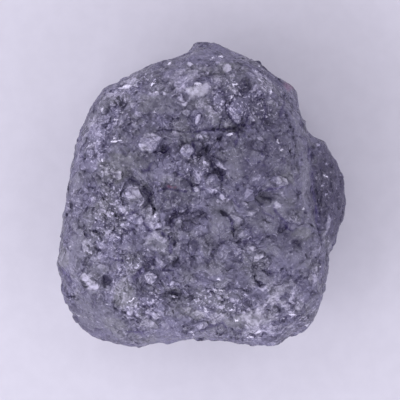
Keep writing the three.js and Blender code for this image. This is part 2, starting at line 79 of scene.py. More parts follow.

# ---- What grew where -------------------------------------------------------------------------
# Places are on the crown, as seen from straight above its middle. A turn is in degrees from +X
# towards +Y. A shade below 0 is darker than the stone's own tone, and one above 0 is paler; in
# the pits, creases, grains' low rings, on the flanks and in some stretches it is painted light and
# shade.

# Single grains that stand out: x, y, length, width, turn, lift, shade.
GRAINS = [
    (-0.44, 4.59, 0.2, 0.17, 0, 0.05, 0.7),
    (0.42, 4.4, 0.42, 0.34, 0, 0.05, 0.3),
    (0.84, 4.4, 0.34, 0.28, -20, 0.06, 0.9),
    (0.53, 3.95, 0.4, 0.28, -60, 0.08, 0.45),
    (1.16, 3.62, 0.46, 0.28, -35, 0.08, 0.7),
    (-0.64, 3.21, 0.3, 0.22, 0, 0.06, 0.5),
    (0.18, 3.07, 0.32, 0.24, 20, 0.08, 0.6),
    (0.53, 2.72, 0.42, 0.3, 80, 0.1, 0.5),
    (1.16, 2.79, 0.54, 0.36, -50, 0.12, 0.55),
    (-0.18, 2.68, 0.4, 0.2, 70, 0.1, 0.9),
    (-0.12, 2.03, 0.34, 0.2, -5, 0.1, 0.9),
    (2.07, 1.96, 0.24, 0.18, -30, 0.06, 0.55),
    (1.73, 2.05, 0.34, 0.12, -25, 0.05, 0.6),
    (-1.86, 1.84, 0.95, 0.55, -14, 0.12, 0.7),
    (-0.62, 0.12, 0.62, 0.42, 65, 0.08, -0.25),
    (-0.58, 1.43, 0.52, 0.5, 60, 0.12, 0.35),
    (-1.24, 0.78, 1.0, 0.5, 100, 0.08, -0.25),
    (-3.53, 0.78, 0.16, 0.1, 0, 0.05, 0.7),
    (-2.97, 0.67, 0.38, 0.3, 20, 0.07, 0.45),
    (-3.6, 0.35, 0.3, 0.14, 80, 0.05, 0.5),
    (0.14, 1.06, 0.34, 0.2, 15, 0.07, 0.6),
    (0.67, 0.98, 0.42, 0.22, -40, 0.08, 0.85),
    (-0.21, 0.64, 0.5, 0.28, -60, 0.08, 0.7),
    (-0.21, 0.14, 0.2, 0.16, 0, 0.06, 0.6),
    (0.35, 0.32, 0.64, 0.5, 80, 0.12, 0.15),
    (1.94, 0.46, 0.55, 0.3, -20, 0.06, 0.3),
    (2.25, 0.4, 0.7, 0.36, -8, 0.08, 0.25),
    (2.76, 0.42, 0.58, 0.28, -4, 0.1, 0.55),
    (-2.4, 0.0, 0.62, 0.5, -35, 0.12, 0.7),
    (-2.26, -0.33, 0.3, 0.24, 30, 0.1, 0.65),
    (0.74, -0.1, 0.24, 0.16, -10, 0.06, 0.7),
    (1.59, 0.0, 0.34, 0.28, 60, 0.08, 0.5),
    (1.48, -0.34, 0.28, 0.18, -20, 0.07, 0.75),
    (2.86, -0.05, 0.3, 0.12, -45, 0.05, 0.6),
    (2.65, -0.39, 0.34, 0.28, 0, 0.06, 0.5),
    (-3.39, -0.67, 0.26, 0.18, 0, 0.07, 0.75),
    (-2.82, -0.53, 0.45, 0.34, 30, 0.05, 0.5),
    (-1.27, -0.4, 0.42, 0.3, 70, 0.08, 0.2),
    (-0.74, -0.6, 0.24, 0.14, 10, 0.06, 0.6),
    (-1.66, -1.1, 0.6, 0.28, -5, 0.08, 0.45),
    (-1.66, -0.88, 0.34, 0.3, 50, 0.1, 0.2),
    (-0.78, -1.06, 0.36, 0.28, 80, 0.1, 0.35),
    (-2.14, -1.06, 0.5, 0.2, 100, 0.06, 0.4),
    (-1.94, -1.8, 1.45, 1.0, -25, 0.05, 0.15),
    (-1.38, -2.01, 0.24, 0.14, 10, 0.06, 0.85),
    (-1.02, -2.24, 0.32, 0.22, -30, 0.07, 0.5),
    (-1.48, -2.44, 0.6, 0.34, -32, 0.12, 0.5),
    (-2.37, -2.58, 0.5, 0.26, 20, 0.07, 0.35),
    (-1.85, -2.96, 0.42, 0.36, 0, 0.1, 0.7),
    (-1.09, -3.12, 0.38, 0.2, 80, 0.08, 0.6),
    (-3.95, -3.1, 0.7, 0.28, -38, 0.12, 1.0),
    (-3.5, -3.62, 0.4, 0.14, -40, 0.06, 0.5),
    (-3.05, -3.6, 0.36, 0.3, 90, 0.05, 0.35),
    (-2.26, -4.13, 0.5, 0.3, 0, 0.05, 0.3),
    (-1.73, -4.27, 0.34, 0.2, -30, 0.05, 0.6),
    (0.02, -4.62, 0.4, 0.28, 20, 0.1, 0.7),
    (0.39, -4.91, 0.4, 0.24, 80, 0.06, 0.3),
    (0.74, -1.02, 0.44, 0.4, 0, 0.1, 0.12),
    (1.41, -0.67, 0.85, 0.34, -5, 0.08, 0.25),
    (1.38, -1.34, 0.5, 0.24, -10, 0.06, 0.35),
    (2.01, -2.24, 0.42, 0.24, 25, 0.08, 0.7),
    (1.82, -1.94, 0.22, 0.2, 0, 0.06, 0.7),
    (2.17, -3.32, 0.3, 0.22, 60, 0.08, 0.5),
    (2.8, -3.65, 0.5, 0.4, 45, 0.05, 0.1),
    (1.09, -3.74, 0.3, 0.14, 20, 0.05, 0.6),
    (0.71, -4.02, 0.3, 0.18, 0, 0.06, 0.55),
    (1.48, -4.2, 0.32, 0.1, 0, 0.04, 0.6),
    (4.13, 1.45, 0.14, 0.12, 0, 0.04, 0.6),
    (4.06, 1.73, 0.12, 0.1, 0, 0.04, 0.6),
    (4.38, 1.08, 0.12, 0.09, 20, 0.03, 0.7),
    (4.3, 0.62, 0.1, 0.12, 0, 0.03, 0.8),
    (4.26, 0.28, 0.14, 0.09, 0, 0.03, 0.7),
    (4.38, -0.05, 0.1, 0.1, 0, 0.03, 0.7),
    (4.38, -1.2, 0.7, 0.16, 78, 0.06, 0.45),
    (0.5, 3.2, 0.5, 0.28, 0, 0.08, 0.45),
    (1.66, 3.02, 0.36, 0.44, 0, 0.08, 0.0),
    (2.3, 3.72, 0.55, 0.3, -60, 0.07, 0.4),
    (-0.85, 2.07, 0.5, 0.1, -5, 0.04, 0.7),
    (-0.56, 2.9, 0.3, 0.25, 0, 0.06, 0.4),
    (2.42, 3.3, 0.26, 0.2, 30, 0.06, 0.45),
    (1.92, 1.3, 0.55, 0.5, 0, 0.08, -0.15),
]

# Pits and dark hollows, sunk and darkened with painted shade: x, y, length, width, turn, depth,
# shade.
PITS = [
    (-1.87, 4.02, 0.5, 0.28, 10, 0.04, -0.4),
    (-1.24, 3.99, 0.44, 0.24, 20, 0.04, -0.4),
    (1.55, 3.81, 0.6, 0.42, 90, 0.14, -0.6),
    (1.84, 3.67, 0.3, 0.16, -60, 0.04, -0.5),
    (0.74, 3.53, 0.3, 0.24, 0, 0.06, -0.5),
    (-2.79, 3.14, 0.28, 0.22, -10, 0.08, -0.6),
    (-2.58, 2.68, 0.28, 0.13, 0, 0.06, -0.6),
    (-0.46, 2.75, 0.56, 0.22, 90, 0.05, -0.5),
    (2.44, 2.4, 0.26, 0.24, 0, 0.06, -0.5),
    (3.04, 2.24, 0.14, 0.1, 0, 0.05, -0.5),
    (3.46, 2.01, 0.16, 0.12, 0, 0.05, -0.5),
    (-3.95, 2.01, 0.22, 0.16, 70, 0.05, -0.5),
    (0.2, 1.62, 1.2, 0.36, 38, 0.05, -0.35),
    (-3.49, 1.5, 0.24, 0.1, -25, 0.06, -0.6),
    (2.28, -0.05, 0.6, 0.3, -30, 0.04, -0.3),
    (3.6, -0.65, 0.12, 0.12, 0, 0.06, -0.8),
    (-1.02, -0.81, 0.65, 0.2, 90, 0.08, -0.7),
    (0.0, -0.78, 0.55, 0.4, 0, 0.04, -0.35),
    (0.76, -0.69, 0.34, 0.22, -20, 0.12, -0.9),
    (2.97, -0.97, 0.2, 0.16, 0, 0.06, -0.6),
    (2.8, -1.25, 0.26, 0.24, 10, 0.07, -0.7),
    (2.98, -1.12, 0.34, 0.16, 50, 0.05, -0.6),
    (3.34, -1.77, 0.66, 0.16, -50, 0.06, -0.6),
    (3.07, -2.05, 0.4, 0.12, 0, 0.03, -0.4),
    (-0.28, -1.91, 0.6, 0.26, 80, 0.04, -0.35),
    (1.84, -2.68, 0.65, 0.26, 85, 0.08, -0.6),
    (-3.4, -3.07, 0.36, 0.42, -30, 0.12, -0.8),
    (1.94, -3.21, 0.5, 0.26, -20, 0.07, -0.6),
    (3.81, -3.46, 0.4, 0.2, 100, 0.06, -0.5),
    (-1.02, -3.51, 0.4, 0.22, -20, 0.1, -0.8),
    (1.42, -3.67, 0.75, 0.15, 90, 0.06, -0.6),
    (2.61, -3.69, 0.26, 0.1, 0, 0.05, -0.6),
    (0.78, -3.78, 0.46, 0.14, 0, 0.07, -0.7),
    (1.31, -3.81, 0.16, 0.1, 20, 0.05, -0.6),
    (3.07, -3.85, 0.14, 0.14, 0, 0.06, -0.6),
    (1.02, -4.38, 0.2, 0.2, 0, 0.06, -0.5),
    (2.93, -4.41, 0.5, 0.26, -10, 0.05, -0.4),
    (-3.71, -4.8, 0.26, 0.2, 0, 0.05, -0.4),
    (1.27, -4.94, 0.36, 0.22, 0, 0.05, -0.5),
    (0.88, -5.12, 0.4, 0.1, 0, 0.04, -0.5),
]

# Creases between grains, sunk and darkened with painted shade: width, depth and the points that each
# runs through.
CREASES = [
    (0.05, 0.08, [(-1.6, 2.16), (-1.1, 2.24), (-0.7, 2.17), (-0.39, 2.2), (0.05, 2.23)]),
    (0.08, 0.09, [(0.05, 2.23), (0.5, 2.24), (1.09, 2.33)]),
    (0.06, 0.06, [(1.09, 2.33), (1.35, 2.46), (1.6, 2.4), (1.8, 2.47), (2.05, 2.4)]),
    (0.05, 0.06, [(1.52, 2.44), (1.62, 2.75), (1.69, 2.97)]),
    (0.08, 0.08, [(0.7, 3.6), (0.8, 3.3), (0.88, 2.93), (1.06, 2.65), (1.27, 2.47)]),
    (0.06, 0.06, [(2.15, 3.5), (2.26, 3.04), (2.15, 2.68)]),
    (0.1, 0.08, [(1.31, 2.29), (1.24, 1.98), (1.16, 1.66)]),
    (0.1, 0.08, [(-0.35, 2.01), (-0.32, 1.62), (-0.28, 1.27)]),
    (0.08, 0.07, [(-1.16, 1.62), (-1.45, 1.48), (-1.73, 1.5)]),
    (0.06, 0.05, [(-2.58, 0.56), (-2.15, 0.28), (-1.84, -0.03), (-1.91, -0.32), (-2.12, -0.56)]),
    (0.06, 0.06, [(-0.85, 0.64), (-0.6, 0.56), (-0.39, 0.35), (-0.28, 0.07)]),
    (0.07, 0.06, [(-0.78, 1.34), (-0.67, 1.16), (-0.49, 1.09)]),
    (0.07, 0.06, [(-1.8, 1.02), (-1.87, 0.85), (-2.08, 0.78)]),
    (0.07, 0.05, [(-2.37, -0.64), (-2.61, -0.71), (-2.86, -0.74), (-3.11, -0.56)]),
    (0.06, 0.05, [(-2.05, -1.06), (-1.94, -1.2), (-1.8, -1.31)]),
    (0.1, 0.08, [(-1.41, -1.38), (-1.24, -1.55), (-1.09, -1.84), (-1.13, -2.05)]),
    (0.07, 0.07, [(-1.77, -2.29), (-1.66, -2.54), (-1.34, -2.68), (-0.99, -2.68)]),
    (0.18, 0.1, [(-1.6, -2.15), (-1.9, -2.5), (-2.15, -2.78), (-2.4, -2.98)]),
    (0.07, 0.07, [(2.5, -0.4), (2.7, -0.75), (3.0, -1.15), (3.2, -1.3)]),
    (0.06, 0.06, [(0.95, -0.05), (1.1, -0.2), (1.3, -0.42)]),
    (0.07, 0.06, [(-1.5, 0.14), (-1.15, 0.22), (-0.9, 0.1), (-0.55, 0.08)]),
    (0.06, 0.06, [(2.9, 3.5), (2.84, 3.1), (2.76, 2.75)]),
    (0.06, 0.06, [(1.75, 1.22), (2.0, 1.1), (2.2, 1.0)]),
    (0.05, 0.05, [(-2.1, 0.1), (-1.9, -0.15), (-1.72, -0.5), (-1.75, -0.72)]),
    (0.06, 0.06, [(-3.21, -2.22), (-3.07, -2.33), (-2.79, -2.33)]),
    (0.07, 0.05, [(-2.65, -4.84), (-2.37, -4.87), (-2.08, -4.84)]),
    (0.07, 0.08, [(0.28, 1.02), (0.49, 0.95), (0.64, 0.74), (0.71, 0.46)]),
    (0.09, 0.06, [(1.59, 1.2), (1.8, 1.16), (2.01, 1.2), (2.12, 1.38)]),
    (0.07, 0.06, [(2.12, 2.47), (2.15, 2.65), (2.33, 2.72)]),
    (0.06, 0.06, [(2.08, 0.18), (2.37, 0.14), (2.65, 0.21), (2.93, 0.25)]),
    (0.12, 0.12, [(3.8, 1.6), (3.88, 0.85), (3.95, 0.15), (4.02, -0.55), (4.1, -1.2), (4.25, -1.6)]),
    (0.09, 0.08, [(-0.04, -4.84), (0.18, -4.66), (0.46, -4.59), (0.74, -4.55), (0.81, -4.69)]),
    (0.07, 0.05, [(-2.79, -1.24), (-2.61, -1.34), (-2.44, -1.24)]),
    (0.1, 0.1, [(0.92, -0.82), (1.06, -1.0), (1.08, -1.28)]),
    (0.05, 0.04, [(2.15, -0.64), (2.37, -0.71), (2.51, -0.88)]),
    (0.07, 0.04, [(-5.05, -2.61), (-4.84, -2.82), (-4.62, -3.07)]),
]

# Painted highlights: faces that flash, given a bright colour: x, y, length, width, turn.
GLINTS = [
    (-1.17, 4.59, 0.16, 0.07, 0),
    (0.62, 4.83, 0.24, 0.09, 10),
    (0.39, 4.81, 0.2, 0.05, 50),
    (2.01, 4.52, 0.1, 0.08, 0),
    (1.91, 4.31, 0.14, 0.06, -50),
    (1.98, 4.02, 0.14, 0.08, -30),
    (2.4, 3.57, 0.12, 0.09, 60),
    (-2.68, 3.78, 0.5, 0.1, 12),
    (-2.33, 3.78, 0.14, 0.06, 0),
    (-1.82, 3.82, 0.26, 0.07, 60),
    (-1.72, 3.9, 0.2, 0.06, 60),
    (-0.14, 3.86, 0.26, 0.1, -20),
    (1.16, 3.87, 0.26, 0.07, -20),
    (1.08, 3.41, 0.16, 0.07, 45),
    (-1.59, 3.57, 0.1, 0.07, 0),
    (-3.49, 2.97, 0.1, 0.06, 0),
    (-2.86, 2.86, 0.1, 0.08, 0),
    (-1.69, 2.86, 0.08, 0.08, 0),
    (-3.04, 2.63, 0.2, 0.05, 0),
    (-3.14, 1.98, 0.08, 0.07, 0),
    (-3.15, 1.84, 0.28, 0.09, -5),
    (-2.9, 1.87, 0.22, 0.05, 0),
    (1.02, 1.99, 0.3, 0.08, 20),
    (2.65, 1.84, 0.18, 0.05, 100),
    (2.75, 1.48, 0.14, 0.08, 30),
    (-1.52, 1.43, 0.2, 0.06, 0),
    (-3.53, 1.16, 0.1, 0.08, 0),
    (4.38, 0.6, 0.12, 0.05, 0),
    (3.55, -0.53, 0.13, 0.1, 60),
    (-1.66, -0.81, 0.2, 0.1, 60),
    (-4.62, -1.87, 0.09, 0.08, 0),
    (4.48, -1.66, 0.12, 0.05, 20),
    (4.09, -2.58, 0.08, 0.08, 0),
    (3.79, -3.0, 0.15, 0.11, -30),
    (0.6, -3.04, 0.15, 0.08, 0),
    (0.46, -3.46, 0.12, 0.07, 0),
    (0.64, -3.42, 0.12, 0.06, 0),
    (-1.02, -3.64, 0.1, 0.06, 0),
    (-2.5, -3.74, 0.3, 0.1, 40),
    (-3.42, -3.92, 0.09, 0.07, 0),
    (0.12, -4.09, 0.24, 0.09, -50),
    (1.06, -4.13, 0.09, 0.08, 0),
    (3.25, -4.25, 0.3, 0.06, 5),
    (-4.38, -4.31, 0.08, 0.08, 0),
    (3.53, -4.34, 0.13, 0.07, -20),
    (2.89, -4.41, 0.13, 0.06, 10),
    (1.22, -4.48, 0.17, 0.09, -20),
    (3.67, -4.59, 0.17, 0.06, 35),
    (-0.42, -4.91, 0.22, 0.07, -10),
    (1.94, -4.91, 0.24, 0.12, 35),
    (1.69, -5.08, 0.2, 0.12, 0),
]

# Stretches of another finish, some of them painted light and shade of the stone's large forms: x, y,
# length, width, turn, shade, greyness, smoothness. Where the smoothness is below 0 the crust is
# rougher.
STRETCHES = [
    (0.9, 3.5, 3.6, 2.2, 0, 0.0, 0.0, -0.85),
    (-3.3, 0.3, 1.2, 3.8, 0, 0.0, 0.0, -0.8),
    (1.2, -4.0, 4.2, 1.4, 0, 0.0, 0.0, -0.7),
    (-1.5, -0.9, 2.6, 3.2, 0, 0.0, 0.0, -0.6),
    (0.0, 0.95, 2.5, 2.3, 0, 0.0, 0.0, -0.7),
    (-0.18, 3.64, 0.62, 0.46, 10, 0.55, 0.9, 0.8),
    (0.65, 4.42, 0.9, 0.45, 0, 0.05, 0.8, 0.5),
    (-1.8, 3.14, 1.1, 0.8, 0, -0.05, 0.7, 0.5),
    (-2.5, 1.13, 1.4, 0.6, -10, 0.05, 0.9, 0.5),
    (-0.39, -4.17, 0.95, 0.45, -10, 0.35, 0.9, 0.8),
    (1.73, -4.41, 1.8, 0.64, 12, 0.1, 0.8, 0.8),
    (1.9, -4.45, 1.1, 0.6, 55, 0.4, 0.5, 0.4),
    (-2.55, -3.75, 0.65, 0.5, -30, 0.25, 0.7, 0.5),
    (-4.45, -2.15, 1.4, 0.6, 80, 0.12, 0.4, 0.6),
    # painted shade on the low lobe, which lies under the ridge and faces away from the key light
    (4.55, 0.1, 3.8, 1.3, 86, -1.15, 0.1, 0.6),
    (4.22, 0.3, 1.8, 0.7, 88, -1.0, 0.0, 0.0),
    (3.75, -1.1, 1.1, 0.36, -85, 0.25, 0.4, 0.5),
    (-0.49, 4.1, 2.1, 1.1, 10, 0.3, 0.0, 0.0),
    (-2.93, 3.14, 2.4, 1.3, 50, 0.2, 0.0, 0.0),
    (-3.99, 1.55, 2.4, 0.9, 80, 0.2, 0.0, 0.0),
    (2.15, 3.85, 0.9, 0.7, -60, 0.3, 0.0, 0.0),
    (3.04, -3.67, 1.1, 0.9, 0, 0.3, 0.0, 0.0),
    (2.19, -4.66, 1.4, 0.5, 15, 0.2, 0.0, 0.0),
    (0.32, -4.3, 1.1, 0.7, 0, 0.25, 0.0, 0.0),
    (-1.8, -4.17, 1.4, 0.8, 0, 0.2, 0.0, 0.0),
    (-2.86, -3.04, 0.7, 0.7, 0, 0.15, 0.0, 0.0),
    (2.79, 1.8, 1.8, 1.5, 0, -0.35, 0.0, 0.0),
    (0.14, 1.2, 0.8, 0.6, 0, -0.2, 0.0, 0.0),
    (-0.81, -0.99, 1.05, 0.8, 90, -0.4, 0.0, 0.0),
    (-0.64, -2.61, 0.75, 0.75, 0, -0.3, 0.0, 0.0),
    (3.2, -1.1, 3.2, 1.4, 90, -0.2, 0.0, 0.0),
    (0.95, -1.73, 1.4, 0.9, 0, -0.25, 0.0, 0.0),
    (0.67, 0.14, 4.2, 4.2, 0, -0.12, 0.0, 0.0),
    # painted highlight along the ridge's edge, which is also greyer and smoother
    (3.68, 0.6, 2.2, 0.42, 87, 0.1, 0.5, 0.7),
    (3.3, -1.7, 1.6, 1.6, 0, 0.0, 0.3, 0.5),
    (-3.9, -4.2, 1.7, 1.3, -30, -0.3, 0.4, 0.5),
    (3.45, 2.9, 2.2, 0.7, -70, 0.0, 0.2, 0.5),
    (-1.94, -1.8, 1.4, 0.95, -25, 0.05, 0.0, 0.4),
    (1.95, 3.02, 0.9, 0.6, 0, -0.55, 0.2, 0.0),
    (1.8, 1.1, 1.1, 1.0, 10, -0.65, 0.2, 0.1),
    (1.65, 1.65, 1.1, 0.5, 0, -0.25, 0.3, 0.0),
    (2.4, 1.85, 0.8, 0.7, 0, -0.3, 0.3, 0.0),
    (2.8, -1.5, 1.2, 0.8, -40, -0.45, 0.0, 0.0),
    (2.75, -2.3, 0.7, 0.5, 0, -0.2, 0.0, 0.0),
    (-2.1, 1.2, 0.9, 0.85, 0, -0.3, 0.6, 0.3),
    (-1.0, 0.9, 0.9, 1.2, 0, -0.25, 0.0, 0.0),
    (-1.5, 3.1, 1.2, 0.8, 0, -0.25, 0.5, 0.3),
    (-0.9, -0.4, 1.5, 1.0, 0, -0.25, 0.0, 0.0),
    (-0.55, -2.3, 0.5, 1.2, 0, -0.35, 0.0, 0.0),
    (-4.1, 1.0, 0.5, 1.2, 0, -0.3, 0.0, 0.0),
    (2.15, -0.75, 1.3, 0.6, -20, -0.45, 0.0, 0.0),
    (-2.8, 3.7, 1.4, 0.4, 25, 0.35, 0.0, 0.0),
    (-0.8, 4.0, 1.1, 0.6, 10, 0.3, 0.0, 0.0),
    (0.25, 3.3, 0.6, 1.0, 0, 0.65, 0.0, 0.0),
    (0.95, 4.25, 0.5, 0.4, 0, 0.3, 0.4, 0.0),
    (2.0, 3.85, 0.5, 0.6, 0, 0.35, 0.0, 0.0),
    (-0.2, 0.55, 0.5, 0.8, -20, 0.7, 0.0, 0.0),
    (-3.15, 0.3, 1.0, 0.4, 0, 0.25, 0.3, 0.0),
    (0.75, -0.35, 1.0, 0.45, 0, 0.3, 0.4, 0.4),
    (1.25, -1.05, 0.35, 1.0, 20, 0.7, 0.3, 0.3),
    (-2.95, -1.35, 0.4, 0.7, 0, 0.25, 0.0, 0.0),
    (-2.55, -2.1, 0.9, 0.4, -10, 0.25, 0.0, 0.0),
    (-2.1, -4.0, 0.7, 0.5, 0, 0.4, 0.0, 0.0),
    (-2.95, -4.15, 0.5, 0.7, 0, 0.25, 0.0, 0.0),
    (-3.85, -3.5, 0.6, 0.4, -30, 0.3, 0.2, 0.3),
    (3.8, -3.0, 0.5, 0.4, 0, 0.35, 0.0, 0.0),
    (2.0, -3.9, 0.6, 0.6, 0, 0.45, 0.0, 0.0),
    (1.2, -3.9, 0.4, 0.3, 0, 0.35, 0.0, 0.0),
    (1.7, -5.0, 0.7, 0.35, 0, 0.4, 0.0, 0.0),
    (-3.05, 0.85, 1.1, 0.85, 0, 0.0, 0.9, 0.0),
    (-3.4, -0.5, 1.2, 0.9, 0, 0.1, 0.8, 0.0),
    (-2.8, -3.5, 0.9, 0.9, 0, 0.1, 0.9, 0.4),
    (-3.05, -4.6, 0.8, 0.5, 0, 0.1, 0.8, 0.3),
    (-4.98, -2.15, 0.5, 1.4, 0, 0.15, 0.8, 0.4),
    (2.97, 0.5, 0.8, 0.4, 0, 0.1, 0.8, 0.4),
    (3.5, -1.45, 0.9, 0.5, 20, 0.1, 0.8, 0.4),
    (1.7, 2.4, 1.8, 0.5, 0, -0.35, 0.0, 0.0),
    (1.3, 1.9, 0.4, 0.6, 0, -0.3, 0.0, 0.0),
    (-0.1, 1.55, 0.9, 0.4, 40, -0.35, 0.0, 0.0),
    (-1.25, 1.55, 0.7, 0.4, 20, -0.25, 0.0, 0.0),
    (-1.1, -0.1, 1.1, 0.4, 0, -0.3, 0.0, 0.0),
    (-0.8, -1.0, 0.6, 0.6, 0, -0.3, 0.0, 0.0),
    (0.4, 0.8, 0.8, 0.4, -30, -0.35, 0.0, 0.0),
    (1.5, 1.1, 1.4, 0.9, 0, -0.1, 0.3, 0.7),
    (0.85, -0.85, 1.5, 0.8, -40, 0.05, 0.5, 0.7),
    (2.25, -1.0, 1.8, 0.8, -30, 0.0, 0.5, 0.7),
    (2.7, 1.6, 1.0, 1.5, 0, -0.15, 0.3, 0.2),
    (-2.4, 1.15, 1.2, 0.5, 0, -0.3, 0.4, 0.5),
    (2.35, 2.75, 0.8, 1.2, 0, -0.35, 0.2, 0.2),
    (1.15, 0.35, 0.4, 1.3, 0, -0.45, 0.0, 0.3),
    (3.15, -3.85, 0.9, 0.8, -20, 0.4, 0.0, 0.0),
    (-0.65, 3.45, 0.7, 0.5, 0, 0.35, 0.0, 0.0),
    (-2.2, -4.4, 1.0, 0.6, 0, 0.45, 0.0, 0.0),
    (-1.6, -3.9, 0.5, 0.7, 0, -0.25, 0.0, 0.0),
    (-0.7, 4.65, 0.8, 0.35, 5, -0.4, 0.0, 0.0),
    (-3.0, -3.6, 0.8, 0.5, 0, 0.25, 0.0, 0.0),
    (0.45, 0.05, 0.7, 0.3, 0, -0.3, 0.0, 0.0),
    (-4.6, -0.5, 0.7, 1.2, 0, 0.3, 0.2, 0.3),
    (-2.2, -1.4, 0.6, 0.6, 0, 0.4, 0.0, 0.0),
    (1.6, -4.3, 0.4, 0.8, -20, 0.35, 0.0, 0.0),
    (-4.1, 0.5, 0.6, 0.9, 0, -0.3, 0.0, 0.0),
]

# Flanks with painted shade, which dims rims that the lights make bright: the bearing that each looks
# towards, and its shade.
PAINTED_FLANK_SHADES = [(215, -0.45), (55, -0.35)]

# Stretches strewn with small bright grains: x, y, length, width, turn.
SPARKLES = [
    (-3.3, -0.8, 2.8, 1.7, 80),
    (-2.3, 3.9, 2.2, 0.7, 15),
    (2.19, 3.85, 0.9, 0.66, -60),
    (0.4, 3.1, 0.8, 0.4, 0),
    (0.8, -3.7, 2.2, 1.1, 0),
    (-1.75, -3.7, 0.7, 0.5, 0),
    (3.3, -4.35, 1.0, 0.5, 0),
    (1.7, -5.05, 0.7, 0.4, 0),
    (-2.5, -2.4, 1.2, 0.8, -20),
    (1.2, 3.2, 2.8, 1.7, -10),
    (-0.3, 1.0, 1.2, 0.9, 0),
    (-2.2, -4.1, 1.3, 0.7, 0),
    (-2.9, 3.3, 1.0, 1.2, 0),
    (-3.7, 1.7, 0.7, 1.6, -20),
]

# Stains of a reddish earth: x, y, length, width, turn, strength.
STAINS = [
    (3.04, 3.8, 0.5, 0.3, -40, 0.4),
    (-1.17, 0.28, 0.2, 0.1, 0, 0.7),
    (-0.95, 0.25, 0.14, 0.1, 0, 0.6),
]

# What the tables give to every point of the crust besides its height.
PLACED_VALUES = ["shade", "grey", "smooth", "glint", "sparkle", "crease", "stain"]

# Each shape in the tables has uneven sides.
SHAPE_SIDES = 6
SIDE_SWING = 0.4  # how far a side turns out of its even place, where the next one's is at 1
SIDE_REACHES = (0.7, 1.15)  # nearest and furthest side, as shares of half the shape's size

# Where a shape's effect ends and where it is whole, as shares of the way to its border.
STRETCH_EDGE = (1.25, 0.75)
SPARKLE_EDGE = (1.25, 0.6)
PIT_EDGE = (1.2, 0.4)
PIT_SHADE_EDGE = (1.3, 0.5)
GRAIN_EDGE = (1.1, 0.7)
GRAIN_SHADE_EDGE = (1.05, 0.85)
GLINT_EDGE = (1.3, 0.8)
STAIN_EDGE = (1.3, 0.4)
MOAT_EDGES = [(1.35, 1.1), (0.9, 1.1)]  # outer and inner, of the low ring round a grain

# How strongly each kind shows.
PIT_SHADE = 0.5  # share of its shade that a pit is coloured with, as painted shade
CREASE_DEPTH = 0.45  # share of its depth that a crease is sunk by
# painted shade in a crease
CREASE_SHADE = -0.25
CREASE_FLOOR = 0.2  # share of a crease's width in which it is deepest
GRAIN_COVER = 0.7  # share of the crust's relief that a grain levels
GRAIN_LEVEL = 0.6  # height of a grain's middle, as a share of its lift
GRAIN_TILT = 0.5  # how much higher it stands at its first side
GRAIN_SMOOTHNESS = 0.3
# painted shadow in the low ring round a grain
MOAT_PAINTED_SHADOW = 0.3
MOAT_DEPTH = 0.2  # as a share of the grain's lift
SHADOW_SIDE = np.array([0.85, -0.1])  # the side of a grain on which its low ring and painted shadow show, in plan
MOAT_START = (-0.4, 0.3)  # from where to where it sets in towards that side, in grain lengths
STAIN_FADE = 0.6  # height below the view's level in which a stain fades out

# How far a face looks up, from 0 for an upright one to 1 for a level one.
CROWN_SLOPE = (0.0, 0.3)  # where the shapes begin, and where they are whole
FLANK_SLOPE = (0.5, 0.2)  # the same for the flanks' shades
WORN_SLOPE = (0.2, 0.7)  # where the crust is most worn, and where it isn't worn
FLANK_TURN = (0.3, 0.8)  # how squarely a flank faces its bearing, likewise

# A slow drift keeps the shapes from looking drawn.
DRIFT = 0.03
DRIFT_SIZE = 0.3
DRIFT_SEEDS = (31, 32)

# Smooth patches lie all over the stone.
SMOOTHEST = 0.65
SMOOTH_SIZE = 0.9
SMOOTH_RISE = (-0.3, 0.8)  # values of a slow random change where they begin and are smoothest
SMOOTH_SEED = 33
LEVELLING = 0.6  # share of its relief that a wholly smooth place loses

# A slow random change is a sum of waves.
WAVES = 8
WAVE_BEND = 2.2  # about how far a wave runs over the size of the change, in radians
WAVE_STARTS = 7  # the waves start within this many radians of each other
WAVE_PEAK = 3  # what their sum seldom goes beyond

# ---- Light and view --------------------------------------------------------------------------

VIEW_WIDTH = 14.12  # across the frame, at the view's level
VIEW_LEVEL = 3.1  # height at which the stone is widest
VIEW_CENTRE = (-0.065, -0.19)  # the place that the camera looks straight down on
CAMERA_HEIGHT = 123.0
SENSOR = 36.0  # width of the camera's sensor
NEAREST_SEEN = 1.0  # what lies nearer to the camera isn't drawn
TABLE_REACH = 400.0  # from the middle of the table to its sides

TENT_COLOUR = (0.95, 0.92, 1.08, 1.0)
TENT_STRENGTH = 2.35  # of the light tent near the horizon
TENT_FADE = (0.7, 0.3)  # heights, as sines, between which it goes dark overhead
SOFTBOX_DISTANCE = 150.0
SOFTBOX_SIZE = 60.0
SOFTBOX_COLOUR = (0.985, 0.96, 1.08)
# Softboxes stand round the front, and two higher ones behind: bearing and height in degrees.
SOFTBOXES = [(bearing, 42) for bearing in range(150, 331, 30)] + [(30, 65), (120, 65)]
KEY_BEARING = 218  # the softboxes on this side are stronger
KEY_POWER = 0.038
KEY_FALL = 6  # how quickly they weaken to both sides of it
FILL_POWER = 0.012  # of every softbox
SPARKS = [(200, 62), (250, 68), (130, 60), (20, 65), (300, 58)]  # bearing and height in degrees
SPARK_SIZE = 6.0
SPARK_POWER = 0.005
SPARK_COLOUR = (0.97, 0.95, 1.06)

# ---- Shader nodes as arithmetic --------------------------------------------------------------


